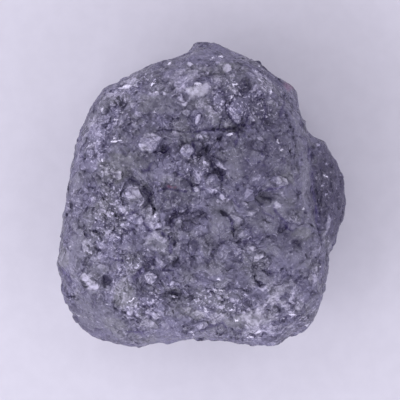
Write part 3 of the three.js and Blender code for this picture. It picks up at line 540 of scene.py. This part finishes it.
class Wire:
    """A number or vector that a node puts out. Arithmetic on it adds Math nodes."""

    def __init__(self, nodes, socket):
        self.nodes = nodes
        self.socket = socket

    def math(self, operation, *values):
        return self.nodes.add("ShaderNodeMath", {"operation": operation}, dict(enumerate(values)))

    def __add__(self, other):
        return self.math("ADD", self, other)

    def __sub__(self, other):
        return self.math("SUBTRACT", self, other)

    def __rsub__(self, other):
        return self.math("SUBTRACT", other, self)

    def __mul__(self, other):
        return self.math("MULTIPLY", self, other)

    __radd__ = __add__
    __rmul__ = __mul__

    def most(self, other):
        return self.math("MAXIMUM", self, other)

    def beside(self, name):
        """Another output of the same node."""
        return Wire(self.nodes, self.socket.node.outputs[name])

    def between(self, low, high):
        """0 up to low, 1 from high, and a smooth rise between them."""
        settings = {"interpolation_type": "SMOOTHSTEP", "clamp": True}
        inputs = {"Value": self, "From Min": low, "From Max": high}
        return self.nodes.add("ShaderNodeMapRange", settings, inputs)


class Nodes:
    """The node tree of one material, or of the world."""

    def __init__(self, owner):
        owner.use_nodes = True
        self.tree = owner.node_tree
        self.tree.nodes.clear()

    def add(self, kind, settings=None, inputs=None, output=0):
        """Adds a node, gives it its settings and then its inputs, and returns one output."""
        node = self.tree.nodes.new(kind)
        for name, value in (settings or {}).items():
            setattr(node, name, value)
        for key, value in (inputs or {}).items():
            socket = self.find(node.inputs, key)
            if isinstance(value, Wire):
                self.tree.links.new(value.socket, socket)
            else:
                socket.default_value = value
        return Wire(self, self.find(node.outputs, output)) if node.outputs else None

    @staticmethod
    def find(sockets, key):
        """A socket by its number or by its identifier."""
        if isinstance(key, int):
            return sockets[key]
        return next(socket for socket in sockets if socket.identifier == key)

    def place(self):
        """The place on the stone or the table, in millimetres."""
        local = self.add("ShaderNodeTexCoord", output="Object")
        inputs = {"Vector": local, "Scale": 1 / MM}
        return self.add("ShaderNodeVectorMath", {"operation": "SCALE"}, inputs)

    def noise(self, place, size, detail=2.0, roughness=0.55, output=0):
        """A smooth random number, about 0 to 1, that changes over a size."""
        inputs = {"Vector": place, "Scale": 1 / size, "Detail": detail, "Roughness": roughness}
        return self.add("ShaderNodeTexNoise", {"noise_dimensions": "3D"}, inputs, output)

    def vector(self, operation, *values, output=0):
        """Arithmetic on vectors, which a Wire's own operators don't do."""
        settings = {"operation": operation}
        return self.add("ShaderNodeVectorMath", settings, dict(enumerate(values)), output)

    def warped(self, place, size, reach):
        """The place, moved about by up to a reach, for ragged edges."""
        drift = self.noise(place, size, roughness=0.5, output="Color")
        drift = self.vector("SUBTRACT", drift, (0.5, 0.5, 0.5))
        drift = self.vector("MULTIPLY", drift, (2 * reach, 2 * reach, 2 * reach))
        return self.vector("ADD", place, drift)

    def facets(self, place, size):
        """Flat grains at random tilts: their height, and two random numbers for each grain."""
        inputs = {"Vector": place, "Scale": 1 / size}
        chance = self.add("ShaderNodeTexVoronoi", inputs=inputs, output="Color")
        offset = self.vector("SUBTRACT", place, chance.beside("Position"))
        tilt = self.vector("SUBTRACT", chance, (0.5, 0.5, 0.5))
        height = self.vector("DOT_PRODUCT", offset, tilt, output="Value")
        red = self.add("ShaderNodeSeparateColor", inputs={"Color": chance}, output="Red")
        return height, red, red.beside("Blue")

    def border(self, place, size):
        """How far a place lies from the border of its grain."""
        settings = {"feature": "DISTANCE_TO_EDGE"}
        inputs = {"Vector": place, "Scale": 1 / size}
        return self.add("ShaderNodeTexVoronoi", settings, inputs, "Distance")

    def attribute(self, name):
        """A value that every point of the crust carries."""
        return self.add("ShaderNodeAttribute", {"attribute_name": name}, output="Fac")

    def mix(self, share, first, second):
        """The first colour where the share is 0, and the second where it is 1."""
        inputs = {"Factor_Float": share, "A_Color": first, "B_Color": second}
        return self.add("ShaderNodeMix", {"data_type": "RGBA"}, inputs, "Result_Color")

    def finish(self, shader):
        self.add("ShaderNodeOutputMaterial", inputs={"Surface": shader})


def screen_colour(red, green, blue):
    """A colour given as it looks on a screen, from 0 to 255, as the light that it stands for."""

    def linear(value):
        share = value / 255
        return share / 12.92 if share <= 0.04045 else ((share + 0.055) / 1.055) ** 2.4

    return (linear(red), linear(green), linear(blue), 1.0)


# ---- The fine mesh ---------------------------------------------------------------------------


def ramp(low, high, values):
    """0 up to low, 1 from high, and a smooth rise between them."""
    share = np.clip((values - low) / (high - low), 0, 1)
    return share * share * (3 - 2 * share)


def edges_of(faces):
    """Every edge of the triangles once, as the numbers of its two points."""
    pairs = np.concatenate([faces[:, [0, 1]], faces[:, [1, 2]], faces[:, [2, 0]]])
    return np.unique(np.sort(pairs, axis=1), axis=0)


def neighbour_mean(values, edges):
    """Each point's mean over the points that it shares an edge with."""
    count = len(values)
    first, second = edges[:, 0], edges[:, 1]
    joined = np.bincount(first, minlength=count) + np.bincount(second, minlength=count)
    sums = [
        np.bincount(first, column[second], count) + np.bincount(second, column[first], count)
        for column in values.reshape(count, -1).T
    ]
    return (np.stack(sums, axis=1) / joined[:, None]).reshape(values.shape)


def smoothed(values, edges, rounds, share=0.5):
    """The values after each has moved a share of the way to its neighbours' mean, in rounds."""
    for _ in range(rounds):
        values = values + share * (neighbour_mean(values, edges) - values)
    return values


def blunted(points, edges, rounds):
    """Takes small bumps off and leaves the large form its size and its corners."""
    for _ in range(rounds):
        points = smoothed(points, edges, 1, DRAW_IN)
        points = smoothed(points, edges, 1, PUSH_OUT)
    return points


def points_of(mesh):
    """A mesh's points, in the mesh's own units."""
    points = np.empty(3 * len(mesh.vertices))
    mesh.vertices.foreach_get("co", points)
    return points.reshape(-1, 3)


def tables_of(draft):
    """A draft mesh's points, in millimetres, and its triangles."""
    draft.verts.index_update()
    points = np.array([vertex.co[:] for vertex in draft.verts]) / MM
    faces = np.array([[vertex.index for vertex in face.verts] for face in draft.faces])
    return points, faces


def cut_finer(draft, edges, cuts):
    """Puts new points along the edges and cuts the faces between them into triangles."""
    bmesh.ops.subdivide_edges(draft, edges=edges, cuts=cuts, use_grid_fill=True)
    bmesh.ops.triangulate(draft, faces=draft.faces)


def fine_copy(node):
    """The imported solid's points and triangles, cut finer and with its facets blunted."""
    draft = bmesh.new()
    draft.from_mesh(node.data)
    bmesh.ops.remove_doubles(draft, verts=draft.verts, dist=WELD * MM)
    cut_finer(draft, draft.edges, EDGE_CUTS)
    points, faces = tables_of(draft)
    points = blunted(points, edges_of(faces), SOFTENING)
    for vertex, point in zip(draft.verts, points * MM):
        vertex.co = point
    level = CROWN_LEVEL * MM
    upper = [edge for edge in draft.edges if min(end.co.z for end in edge.verts) > level]
    cut_finer(draft, upper, 1)
    points, faces = tables_of(draft)
    draft.free()
    return points, faces


def normals_of(points, faces):
    """Each point's outward direction."""
    first, second, third = (points[faces[:, corner]] for corner in range(3))
    across = np.cross(second - first, third - first)
    normals = np.zeros_like(points)
    for corner in range(3):
        for axis in range(3):
            normals[:, axis] += np.bincount(faces[:, corner], across[:, axis], len(points))
    return normals / np.linalg.norm(normals, axis=1, keepdims=True)


# ---- Layers of crystals ----------------------------------------------------------------------


def pick_seeds(points, spacing, chance):
    """One point of the surface in each cube of a grid that the surface passes through."""
    order = chance.permutation(len(points))
    cubes = np.floor(points[order] / spacing + chance.random(3)).astype(int)
    _, first = np.unique(cubes, axis=0, return_index=True)
    return order[first]


def nearest_seeds(points, seeds, count):
    """For each point, the seeds that are nearest, as a table of their numbers."""
    tree = KDTree(len(seeds))
    for number, seed in enumerate(seeds):
        tree.insert(seed, number)
    tree.balance()
    return np.array([[found[1] for found in tree.find_n(point, count)] for point in points])


def crystal_layer(points, normals, spacing, chance):
    """Heights of a crust of blunt pyramids, in units of the spacing, and each point's crystal.

    Every crystal has sloping sides and a flat, slightly tilted top. Where crystals meet, the
    higher one shows.
    """
    picked = pick_seeds(points, spacing, chance)
    seeds = points[picked]
    upright = normals[picked]
    total = len(picked)
    slopes = chance.normal(size=(total, CRYSTAL_SIDES, 3))
    slopes -= np.einsum("nsk,nk->ns", slopes, upright)[:, :, None] * upright[:, None, :]
    slopes /= np.linalg.norm(slopes, axis=2, keepdims=True)
    slopes *= chance.uniform(*SIDE_SLOPES, (total, CRYSTAL_SIDES, 1))
    tilts = TOP_TILT * chance.normal(size=(total, 3))
    flats = chance.uniform(*TOP_REACHES, total)
    tops = TALLEST * chance.random(total) ** 2

    near = nearest_seeds(points, seeds, RIVALS)
    offsets = (points[:, None, :] - seeds[near]) / spacing
    fall = np.einsum("pcsk,pck->pcs", slopes[near], offsets).max(axis=2)
    heights = tops[near] + np.einsum("pck,pck->pc", tilts[near], offsets)
    heights -= np.maximum(0, fall - flats[near])
    best = heights.argmax(axis=1)
    rows = np.arange(len(points))
    return heights[rows, best], near[rows, best]


# ---- What has a place of its own -------------------------------------------------------------


def seen_from_above(points):
    """Each point's place in plan, at the view's level, as the camera lines it up."""
    shrink = (CAMERA_HEIGHT - VIEW_LEVEL) / (CAMERA_HEIGHT - points[:, 2:])
    return VIEW_CENTRE + (points[:, :2] - VIEW_CENTRE) * shrink


def wobble(points, size, seed):
    """A smooth random number for each point, about -1 to 1, that changes over a size."""
    chance = np.random.default_rng(seed)
    bends = chance.normal(size=(points.shape[1], WAVES)) * WAVE_BEND / size
    starts = chance.uniform(0, WAVE_STARTS, WAVES)
    return np.sin(points @ bends + starts).sum(axis=1) / WAVE_PEAK


def shape_sides(plan, x, y, length, width, turn):
    """How far each point lies towards each side of a six-sided shape: 1 at that side."""
    chance = np.random.default_rng([round(100 * abs(value)) for value in (x, y, length, width)])
    offset = plan - (x, y)
    cosine, sine = math.cos(math.radians(turn)), math.sin(math.radians(turn))
    along = (offset[:, 0] * cosine + offset[:, 1] * sine) * 2 / length
    aside = (offset[:, 1] * cosine - offset[:, 0] * sine) * 2 / width
    steps = np.arange(SHAPE_SIDES) + chance.uniform(-SIDE_SWING, SIDE_SWING, SHAPE_SIDES)
    bearings = steps * 2 * math.pi / SHAPE_SIDES
    borders = chance.uniform(*SIDE_REACHES, SHAPE_SIDES)
    reaches = np.outer(along, np.cos(bearings)) + np.outer(aside, np.sin(bearings))
    return reaches / borders


def shape_reach(plan, *shape):
    """How far each point lies across such a shape: 0 at its middle and 1 at its border."""
    return shape_sides(plan, *shape).max(axis=1)


def path_distance(plan, path):
    """Each point's distance to a path of straight stretches."""
    nearest = np.full(len(plan), np.inf)
    for start, end in zip(np.array(path[:-1]), np.array(path[1:])):
        run = end - start
        share = np.clip((plan - start) @ run / (run @ run), 0, 1)
        gap = np.linalg.norm(plan - start - share[:, None] * run, axis=1)
        nearest = np.minimum(nearest, gap)
    return nearest


def within_shapes(plan, shapes, edge):
    """1 for points inside any of the shapes, 0 outside all of them, and a rise at the edge."""
    return np.max([ramp(*edge, shape_reach(plan, *shape)) for shape in shapes], axis=0)


def blended(values, target, share):
    """The values, taken towards the target by a share."""
    return values * (1 - share) + target * share


def lay_stretches(plan, crown, finish):
    """Gives stretches of the crown their own shade, greyness and smoothness."""
    for *shape, tone, greyness, smoothness in STRETCHES:
        share = crown * ramp(*STRETCH_EDGE, shape_reach(plan, *shape))
        finish["shade"] += share * tone
        finish["grey"] = np.maximum(finish["grey"], share * greyness)
        finish["smooth"] += share * abs(smoothness) * ((smoothness > 0) - finish["smooth"])


def shade_flanks(normals, finish):
    """Paints shade on the sides that face certain bearings, to dim rims that the lights make bright.
    """
    for bearing, tone in PAINTED_FLANK_SHADES:
        towards = np.array([math.cos(math.radians(bearing)), math.sin(math.radians(bearing))])
        facing = ramp(*FLANK_TURN, normals[:, :2] @ towards)
        finish["shade"] += facing * ramp(*FLANK_SLOPE, normals[:, 2]) * tone


def sink_pits(plan, crown, rise, finish):
    """Lowers the crust in the pits and darkens them with painted shade."""
    for *shape, depth, tone in PITS:
        reach = shape_reach(plan, *shape)
        rise -= crown * depth * ramp(*PIT_EDGE, reach)
        finish["shade"] += PIT_SHADE * crown * tone * ramp(*PIT_SHADE_EDGE, reach)


def sink_creases(plan, crown, rise, finish):
    """Lowers the crust along the creases, which get one painted shade in place of what was there."""
    for width, depth, path in CREASES:
        share = crown * ramp(width, CREASE_FLOOR * width, path_distance(plan, path))
        rise -= CREASE_DEPTH * share * depth
        finish["shade"] = blended(finish["shade"], CREASE_SHADE, share)
        finish["crease"] = np.maximum(finish["crease"], share)


def raise_grains(plan, crown, rise, finish):
    """Lifts the single grains out of the crust, each with a low ring and painted shadow that show on
    one side.
    """
    for x, y, length, width, turn, lift, tone in GRAINS:
        sides = shape_sides(plan, x, y, length, width, turn)
        reach = sides.max(axis=1)
        top = crown * ramp(*GRAIN_EDGE, reach)
        rise *= 1 - GRAIN_COVER * top
        rise += lift * top * (GRAIN_LEVEL + GRAIN_TILT * np.clip(sides[:, 0], -1, 1))
        share = crown * ramp(*GRAIN_SHADE_EDGE, reach)
        finish["shade"] = blended(finish["shade"], tone, share)
        finish["smooth"] = np.maximum(finish["smooth"], GRAIN_SMOOTHNESS * share)
        outer, inner = MOAT_EDGES
        shadowed_ring = crown * ramp(*outer, reach) * ramp(*inner, reach)
        start, whole = (part * length for part in MOAT_START)
        shadowed_ring *= ramp(start, whole, (plan - (x, y)) @ SHADOW_SIDE)
        # painted shadow beside the grain, on its shadow side
        finish["shade"] -= MOAT_PAINTED_SHADOW * shadowed_ring
        rise -= MOAT_DEPTH * lift * shadowed_ring


def place_features(points, normals, rise):
    """Adds what grew where to the crust's rise, and says how each point is finished."""
    drift = [DRIFT * wobble(points, DRIFT_SIZE, seed) for seed in DRIFT_SEEDS]
    plan = seen_from_above(points) + np.stack(drift, axis=1)
    crown = ramp(*CROWN_SLOPE, normals[:, 2])
    upper = ramp(VIEW_LEVEL - STAIN_FADE, VIEW_LEVEL, points[:, 2])
    finish = {name: np.zeros(len(points)) for name in PLACED_VALUES}
    patches = ramp(*SMOOTH_RISE, wobble(points, SMOOTH_SIZE, SMOOTH_SEED))
    finish["smooth"] = SMOOTHEST * patches
    lay_stretches(plan, crown, finish)
    shade_flanks(normals, finish)
    rise = rise * (1 - LEVELLING * finish["smooth"])
    sink_pits(plan, crown, rise, finish)
    sink_creases(plan, crown, rise, finish)
    raise_grains(plan, crown, rise, finish)
    finish["glint"] = crown * within_shapes(plan, GLINTS, GLINT_EDGE)
    finish["sparkle"] = crown * within_shapes(plan, SPARKLES, SPARKLE_EDGE)
    for *shape, strength in STAINS:
        stain = strength * upper * ramp(*STAIN_EDGE, shape_reach(plan, *shape))
        finish["stain"] = np.maximum(finish["stain"], stain)
    return rise, finish


# ---- The stone -------------------------------------------------------------------------------


def grow_crust(points, faces):
    """Moves the points out and in to form the crust, and says how each point is finished."""
    edges = edges_of(faces)
    points = smoothed(points, edges, START_ROUNDS)
    resting = points[:, 2] < REST_SNAP
    normals = normals_of(smoothed(points, edges, NORMAL_ROUNDS), faces)
    worn = FLANK_RELIEF + (1 - FLANK_RELIEF) * ramp(*WORN_SLOPE, normals[:, 2])
    rise = np.zeros(len(points))
    finish = {}
    for layer in CRYSTAL_LAYERS:
        chance = np.random.default_rng(layer["seed"])
        height, crystal = crystal_layer(points, normals, layer["spacing"], chance)
        rise += layer["relief"] * (height - MIDDLE_HEIGHT)
        chance = np.random.default_rng(layer["seed"] + SHADE_SEED)
        finish[layer["name"]] = chance.random(crystal.max() + 1)[crystal]
    rise, placed = place_features(points, normals, rise * worn)
    finish.update(placed)
    rise *= ramp(0, REST_MARGIN, points[:, 2])
    narrow, wide = HOLLOW_ROUNDS
    # how far each point lies in a groove or a hollow, which the finish darkens as painted shade
    finish["groove"] = rise - smoothed(rise, edges, GROOVE_ROUNDS)
    finish["hollow"] = smoothed(rise, edges, narrow) - smoothed(rise, edges, wide)
    skirt = ramp(REST_SKIRT, 0, points[:, 2])[:, None]
    points[:, :2] += skirt * (smoothed(points, edges, SKIRT_ROUNDS) - points)[:, :2]
    points = points + normals * rise[:, None]
    points[resting, 2] = 0
    points[:, 2] = np.maximum(points[:, 2], 0)
    return points, finish


def merge_flat_faces(stone):
    """Merges the flattest faces until the stone has no more than it may have."""
    merging = stone.modifiers.new("merging", "DECIMATE")
    merging.ratio = MOST_FACES / len(stone.data.polygons)
    shown = bpy.context.evaluated_depsgraph_get()
    stone.data = bpy.data.meshes.new_from_object(
        stone.evaluated_get(shown), preserve_all_data_layers=True, depsgraph=shown
    )
    stone.modifiers.clear()


def fit_to_box(points, low, high):
    """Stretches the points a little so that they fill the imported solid's box."""
    lowest, highest = points.min(axis=0), points.max(axis=0)
    return low + (points - lowest) * (high - low) / (highest - lowest)


def build_stone(node):
    """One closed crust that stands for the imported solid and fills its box."""
    solid = points_of(node.data)
    points, faces = fine_copy(node)
    points, finish = grow_crust(points, faces)
    mesh = bpy.data.meshes.new("crust_in_millimetres")
    mesh.from_pydata(points.tolist(), [], faces.tolist())
    for name, values in finish.items():
        attribute = mesh.attributes.new(name, "FLOAT", "POINT")
        attribute.data.foreach_set("value", values.astype(np.float32))
    stone = bpy.data.objects.new("diamond_crust", mesh)
    bpy.context.scene.collection.objects.link(stone)
    merge_flat_faces(stone)
    mesh = stone.data
    mesh.name = "diamond_crust"
    points = fit_to_box(points_of(mesh) * MM, solid.min(axis=0), solid.max(axis=0))
    mesh.vertices.foreach_set("co", points.ravel())
    mesh.polygons.foreach_set("use_smooth", [True] * len(mesh.polygons))
    mesh.set_sharp_from_angle(angle=math.radians(SHARP_FOLD))
    return stone


# ---- Finishes --------------------------------------------------------------------------------

VIOLET = screen_colour(103, 100, 123)  # the stone's own tone
NEUTRAL = screen_colour(104, 104, 110)  # the same where the stone is greyer
PALE_VIOLET = screen_colour(190, 186, 206)
PALE_GREY = screen_colour(190, 187, 201)
# DARK and DEEP also serve as painted shade in the hollows, pits and creases and on the lobe
DARK = screen_colour(59, 54, 80)
DEEP = screen_colour(38, 33, 57)
# deep violet of the fine seams, and the painted shade in the grooves and creases
CREVICE = screen_colour(58, 48, 92)
REDDISH = screen_colour(128, 84, 108)
# the colour of the painted glints
FLASH = screen_colour(230, 227, 242)

# Sizes of the finish's own grain, in millimetres across.
LARGE_FACETS = 0.34
SMALL_FACETS = 0.14
SPECKLES = 0.08
MOTTLES = 0.11
BRIGHT_GRAINS = 0.09
SEAMED_GRAINS = 0.45  # between fine seams

# What every point of the crust carries: its crystals' random shades come first.
CRUST_VALUES = [layer["name"] for layer in CRYSTAL_LAYERS] + PLACED_VALUES + ["groove", "hollow"]


def crust_lightness(nodes, place, crust, rough, large, small):
    """0.5 for the stone's own tone, more where it is paler and less where it is darker."""
    speckle = nodes.noise(place, SPECKLES, detail=3, roughness=0.7)
    # Each grain's random numbers shift it a little, from lumps to grit.
    grains = 0.15 * (crust.crystals - 0.5) + 0.15 * (crust.lumps - 0.5) + 0.25 * (large - 0.5)
    grains = grains + 0.2 * (small - 0.5) + 0.12 * (crust.grit - 0.5)
    grains = grains + 0.2 * (speckle - 0.5) + 0.35 * (speckle.between(0.52, 0.75) - 0.12)
    mottle = 2.0 * nodes.noise(place, MOTTLES, detail=3)
    # the shade carries the stone's own tones and also painted light and shade
    return 0.5 + grains * rough + 0.46 * crust.shade * mottle - 0.05 * crust.sparkle


def fine_seams(nodes, place, rough):
    """Broken fine lines between grains, where the crust is rough."""
    seam = nodes.border(nodes.warped(place, 0.25, 0.1), SEAMED_GRAINS).between(0.06, 0.0)
    return seam * rough * nodes.noise(place, 0.8).between(0.44, 0.56)


def hair_veins(nodes, place):
    """Long thin lines that come and go."""
    vein = nodes.noise(nodes.warped(place, 0.5, 0.15), 0.9) - 0.5
    return (vein * vein).between(0.0008, 0.0) * nodes.noise(place, 0.7, detail=1).between(0.48, 0.6)


def pale_rims(nodes, place, ragged):
    """Worn borders of the large facets, here and there."""
    rims = nodes.border(ragged, LARGE_FACETS).between(0.07, 0.0)
    return rims * nodes.noise(place, 0.45).between(0.5, 0.62)


def crust_finish():
    """Grey crystal with a violet cast: painted shade in the grooves, pale on the crests, painted
    glints and some glossy faces.
    """
    material = bpy.data.materials.new("diamond_crust")
    nodes = Nodes(material)
    place = nodes.place()
    crust = SimpleNamespace(**{name: nodes.attribute(name) for name in CRUST_VALUES})
    rough = 1.2 - 0.95 * crust.smooth
    ragged = nodes.warped(place, 0.3, 0.06)
    large_height, large, large_gloss = nodes.facets(ragged, LARGE_FACETS)
    small_height, small, small_gloss = nodes.facets(ragged, SMALL_FACETS)
    lightness = crust_lightness(nodes, place, crust, rough, large, small)
    seam = fine_seams(nodes, place, rough)
    vein = hair_veins(nodes, place)

    cast = crust.grey.most(0.6 * nodes.noise(place, 0.9, detail=3).between(0.42, 0.62))
    pale = nodes.mix(cast, PALE_VIOLET, PALE_GREY)
    tone = nodes.mix(cast, VIOLET, NEUTRAL)
    tone = nodes.mix(lightness.between(0.5, 1.0) * 0.85, tone, pale)
    tone = nodes.mix(lightness.between(0.5, 0.0) * 0.85, tone, DARK)
    tone = nodes.mix(lightness.between(0.05, -0.3) * 0.5, tone, DEEP)
    # painted shade in the grooves and hollows of the crust
    tone = nodes.mix(crust.groove.between(0.0, -0.07) * 0.65, tone, CREVICE)
    tone = nodes.mix(crust.hollow.between(0.0, -0.1) * 0.4, tone, DARK)
    tone = nodes.mix(pale_rims(nodes, place, ragged) * rough * 0.25, tone, PALE_VIOLET)
    tone = nodes.mix(seam * 0.35, tone, CREVICE)
    # painted shade along the creases, broken up
    broken = nodes.noise(place, 0.25, detail=3).between(0.3, 0.55)
    tone = nodes.mix(crust.crease * broken * 0.75, tone, CREVICE)
    bright = nodes.noise(place, BRIGHT_GRAINS) + 0.1 * small + 0.05 * crust.sparkle
    bright = bright.between(0.66, 0.76) * (0.4 + 0.5 * crust.sparkle)
    tone = nodes.mix(bright, tone, PALE_VIOLET)
    tone = nodes.mix(vein * 0.6, tone, DARK)
    tone = nodes.mix(crust.stain, tone, REDDISH)
    # painted glints: bright ragged streaks in the colour
    streak = nodes.noise(nodes.vector("MULTIPLY", place, (1.0, 4.0, 4.0)), 0.15)
    flash = (crust.glint + 2.4 * (streak - 0.5)).between(0.5, 0.9)
    tone = nodes.mix(flash, tone, FLASH)

    gloss = (0.5 * large_gloss + 0.5 * small_gloss).between(0.45, 0.85)
    fine = nodes.noise(place, 0.09, detail=4, roughness=0.65)
    relief = (0.9 * large_height + small_height) * rough + 0.02 * fine - 0.04 * vein - 0.03 * seam
    inputs = {"Strength": 1.0, "Distance": MM, "Height": relief}
    normal = nodes.add("ShaderNodeBump", inputs=inputs)
    inputs = {"Base Color": tone, "Roughness": 0.5 - 0.36 * gloss, "IOR": 1.5, "Normal": normal}
    nodes.finish(nodes.add("ShaderNodeBsdfPrincipled", inputs=inputs))
    return material


def table_finish():
    """Smooth pale card with a violet cast."""
    material = bpy.data.materials.new("table_card")
    nodes = Nodes(material)
    fibre = nodes.noise(nodes.place(), 0.6).between(0.3, 0.7)
    tone = nodes.mix(fibre, (0.63, 0.62, 0.66, 1.0), (0.65, 0.64, 0.68, 1.0))
    inputs = {"Base Color": tone, "Roughness": 0.8}
    nodes.finish(nodes.add("ShaderNodeBsdfPrincipled", inputs=inputs))
    return material


# ---- Stage, light and camera -----------------------------------------------------------------


def lay_table():
    """A wide table for the stone to lie on, which isn't part of it."""
    reach = TABLE_REACH * MM
    mesh = bpy.data.meshes.new("table")
    corners = [(-reach, -reach, 0), (reach, -reach, 0), (reach, reach, 0), (-reach, reach, 0)]
    mesh.from_pydata(corners, [], [(0, 1, 2, 3)])
    mesh.materials.append(table_finish())
    table = bpy.data.objects.new("table", mesh)
    bpy.context.scene.collection.objects.link(table)


def hang_light(name, place, size, power, colour):
    """A square soft light at a place in millimetres that faces the stone."""
    lamp = bpy.data.lights.new(name, "AREA")
    lamp.size = size * MM
    lamp.energy = power
    lamp.color = colour
    light = bpy.data.objects.new(name, lamp)
    light.location = Vector(place) * MM
    light.rotation_euler = (-Vector(place)).to_track_quat("-Z", "Y").to_euler()
    bpy.context.scene.collection.objects.link(light)


def hang_lights(name, places, size, colour):
    """Lights of one kind, each with its bearing and height in degrees and its power."""
    for number, (bearing, tilt, power) in enumerate(places):
        flat = math.cos(math.radians(tilt))
        place = (
            SOFTBOX_DISTANCE * flat * math.cos(math.radians(bearing)),
            SOFTBOX_DISTANCE * flat * math.sin(math.radians(bearing)),
            SOFTBOX_DISTANCE * math.sin(math.radians(tilt)),
        )
        hang_light(f"{name}_{number + 1}", place, size, power, colour)


def softbox_power(bearing):
    """Strongest at the key's bearing, and falling off quickly to both sides."""
    facing = max(0, math.cos(math.radians(bearing - KEY_BEARING)))
    return FILL_POWER + KEY_POWER * facing**KEY_FALL


def light_studio():
    """A tent that glows near the horizon, and softboxes that are brighter at the front left."""
    world = bpy.data.worlds.new("studio")
    nodes = Nodes(world)
    direction = nodes.add("ShaderNodeTexCoord", output="Generated")
    height = nodes.add("ShaderNodeSeparateXYZ", inputs={"Vector": direction}, output="Z")
    glow = TENT_STRENGTH * height.between(*TENT_FADE)
    backdrop = nodes.add("ShaderNodeBackground", inputs={"Color": TENT_COLOUR, "Strength": glow})
    nodes.add("ShaderNodeOutputWorld", inputs={"Surface": backdrop})
    bpy.context.scene.world = world
    softboxes = [(bearing, tilt, softbox_power(bearing)) for bearing, tilt in SOFTBOXES]
    hang_lights("softbox", softboxes, SOFTBOX_SIZE, SOFTBOX_COLOUR)
    hang_lights("spark", [(*spark, SPARK_POWER) for spark in SPARKS], SPARK_SIZE, SPARK_COLOUR)


def set_camera():
    """High over the stone and looking straight down."""
    lens = bpy.data.cameras.new("view")
    lens.sensor_width = SENSOR
    lens.lens = SENSOR * (CAMERA_HEIGHT - VIEW_LEVEL) / VIEW_WIDTH
    lens.clip_start = NEAREST_SEEN * MM
    camera = bpy.data.objects.new("view", lens)
    camera.location = Vector((*VIEW_CENTRE, CAMERA_HEIGHT)) * MM
    bpy.context.scene.collection.objects.link(camera)
    bpy.context.scene.camera = camera


# ---- The scene -------------------------------------------------------------------------------

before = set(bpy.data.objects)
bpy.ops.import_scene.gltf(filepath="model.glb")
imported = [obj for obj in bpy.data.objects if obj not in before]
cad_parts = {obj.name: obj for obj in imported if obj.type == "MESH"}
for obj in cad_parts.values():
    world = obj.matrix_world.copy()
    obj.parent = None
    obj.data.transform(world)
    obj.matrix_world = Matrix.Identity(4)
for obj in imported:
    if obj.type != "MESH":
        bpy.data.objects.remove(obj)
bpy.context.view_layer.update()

diamond = build_stone(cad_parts[NODE])
diamond.data.materials.append(crust_finish())
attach(diamond, "root")
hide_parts(NODE)

lay_table()
light_studio()
set_camera()
bpy.context.scene.view_settings.view_transform = "Standard"
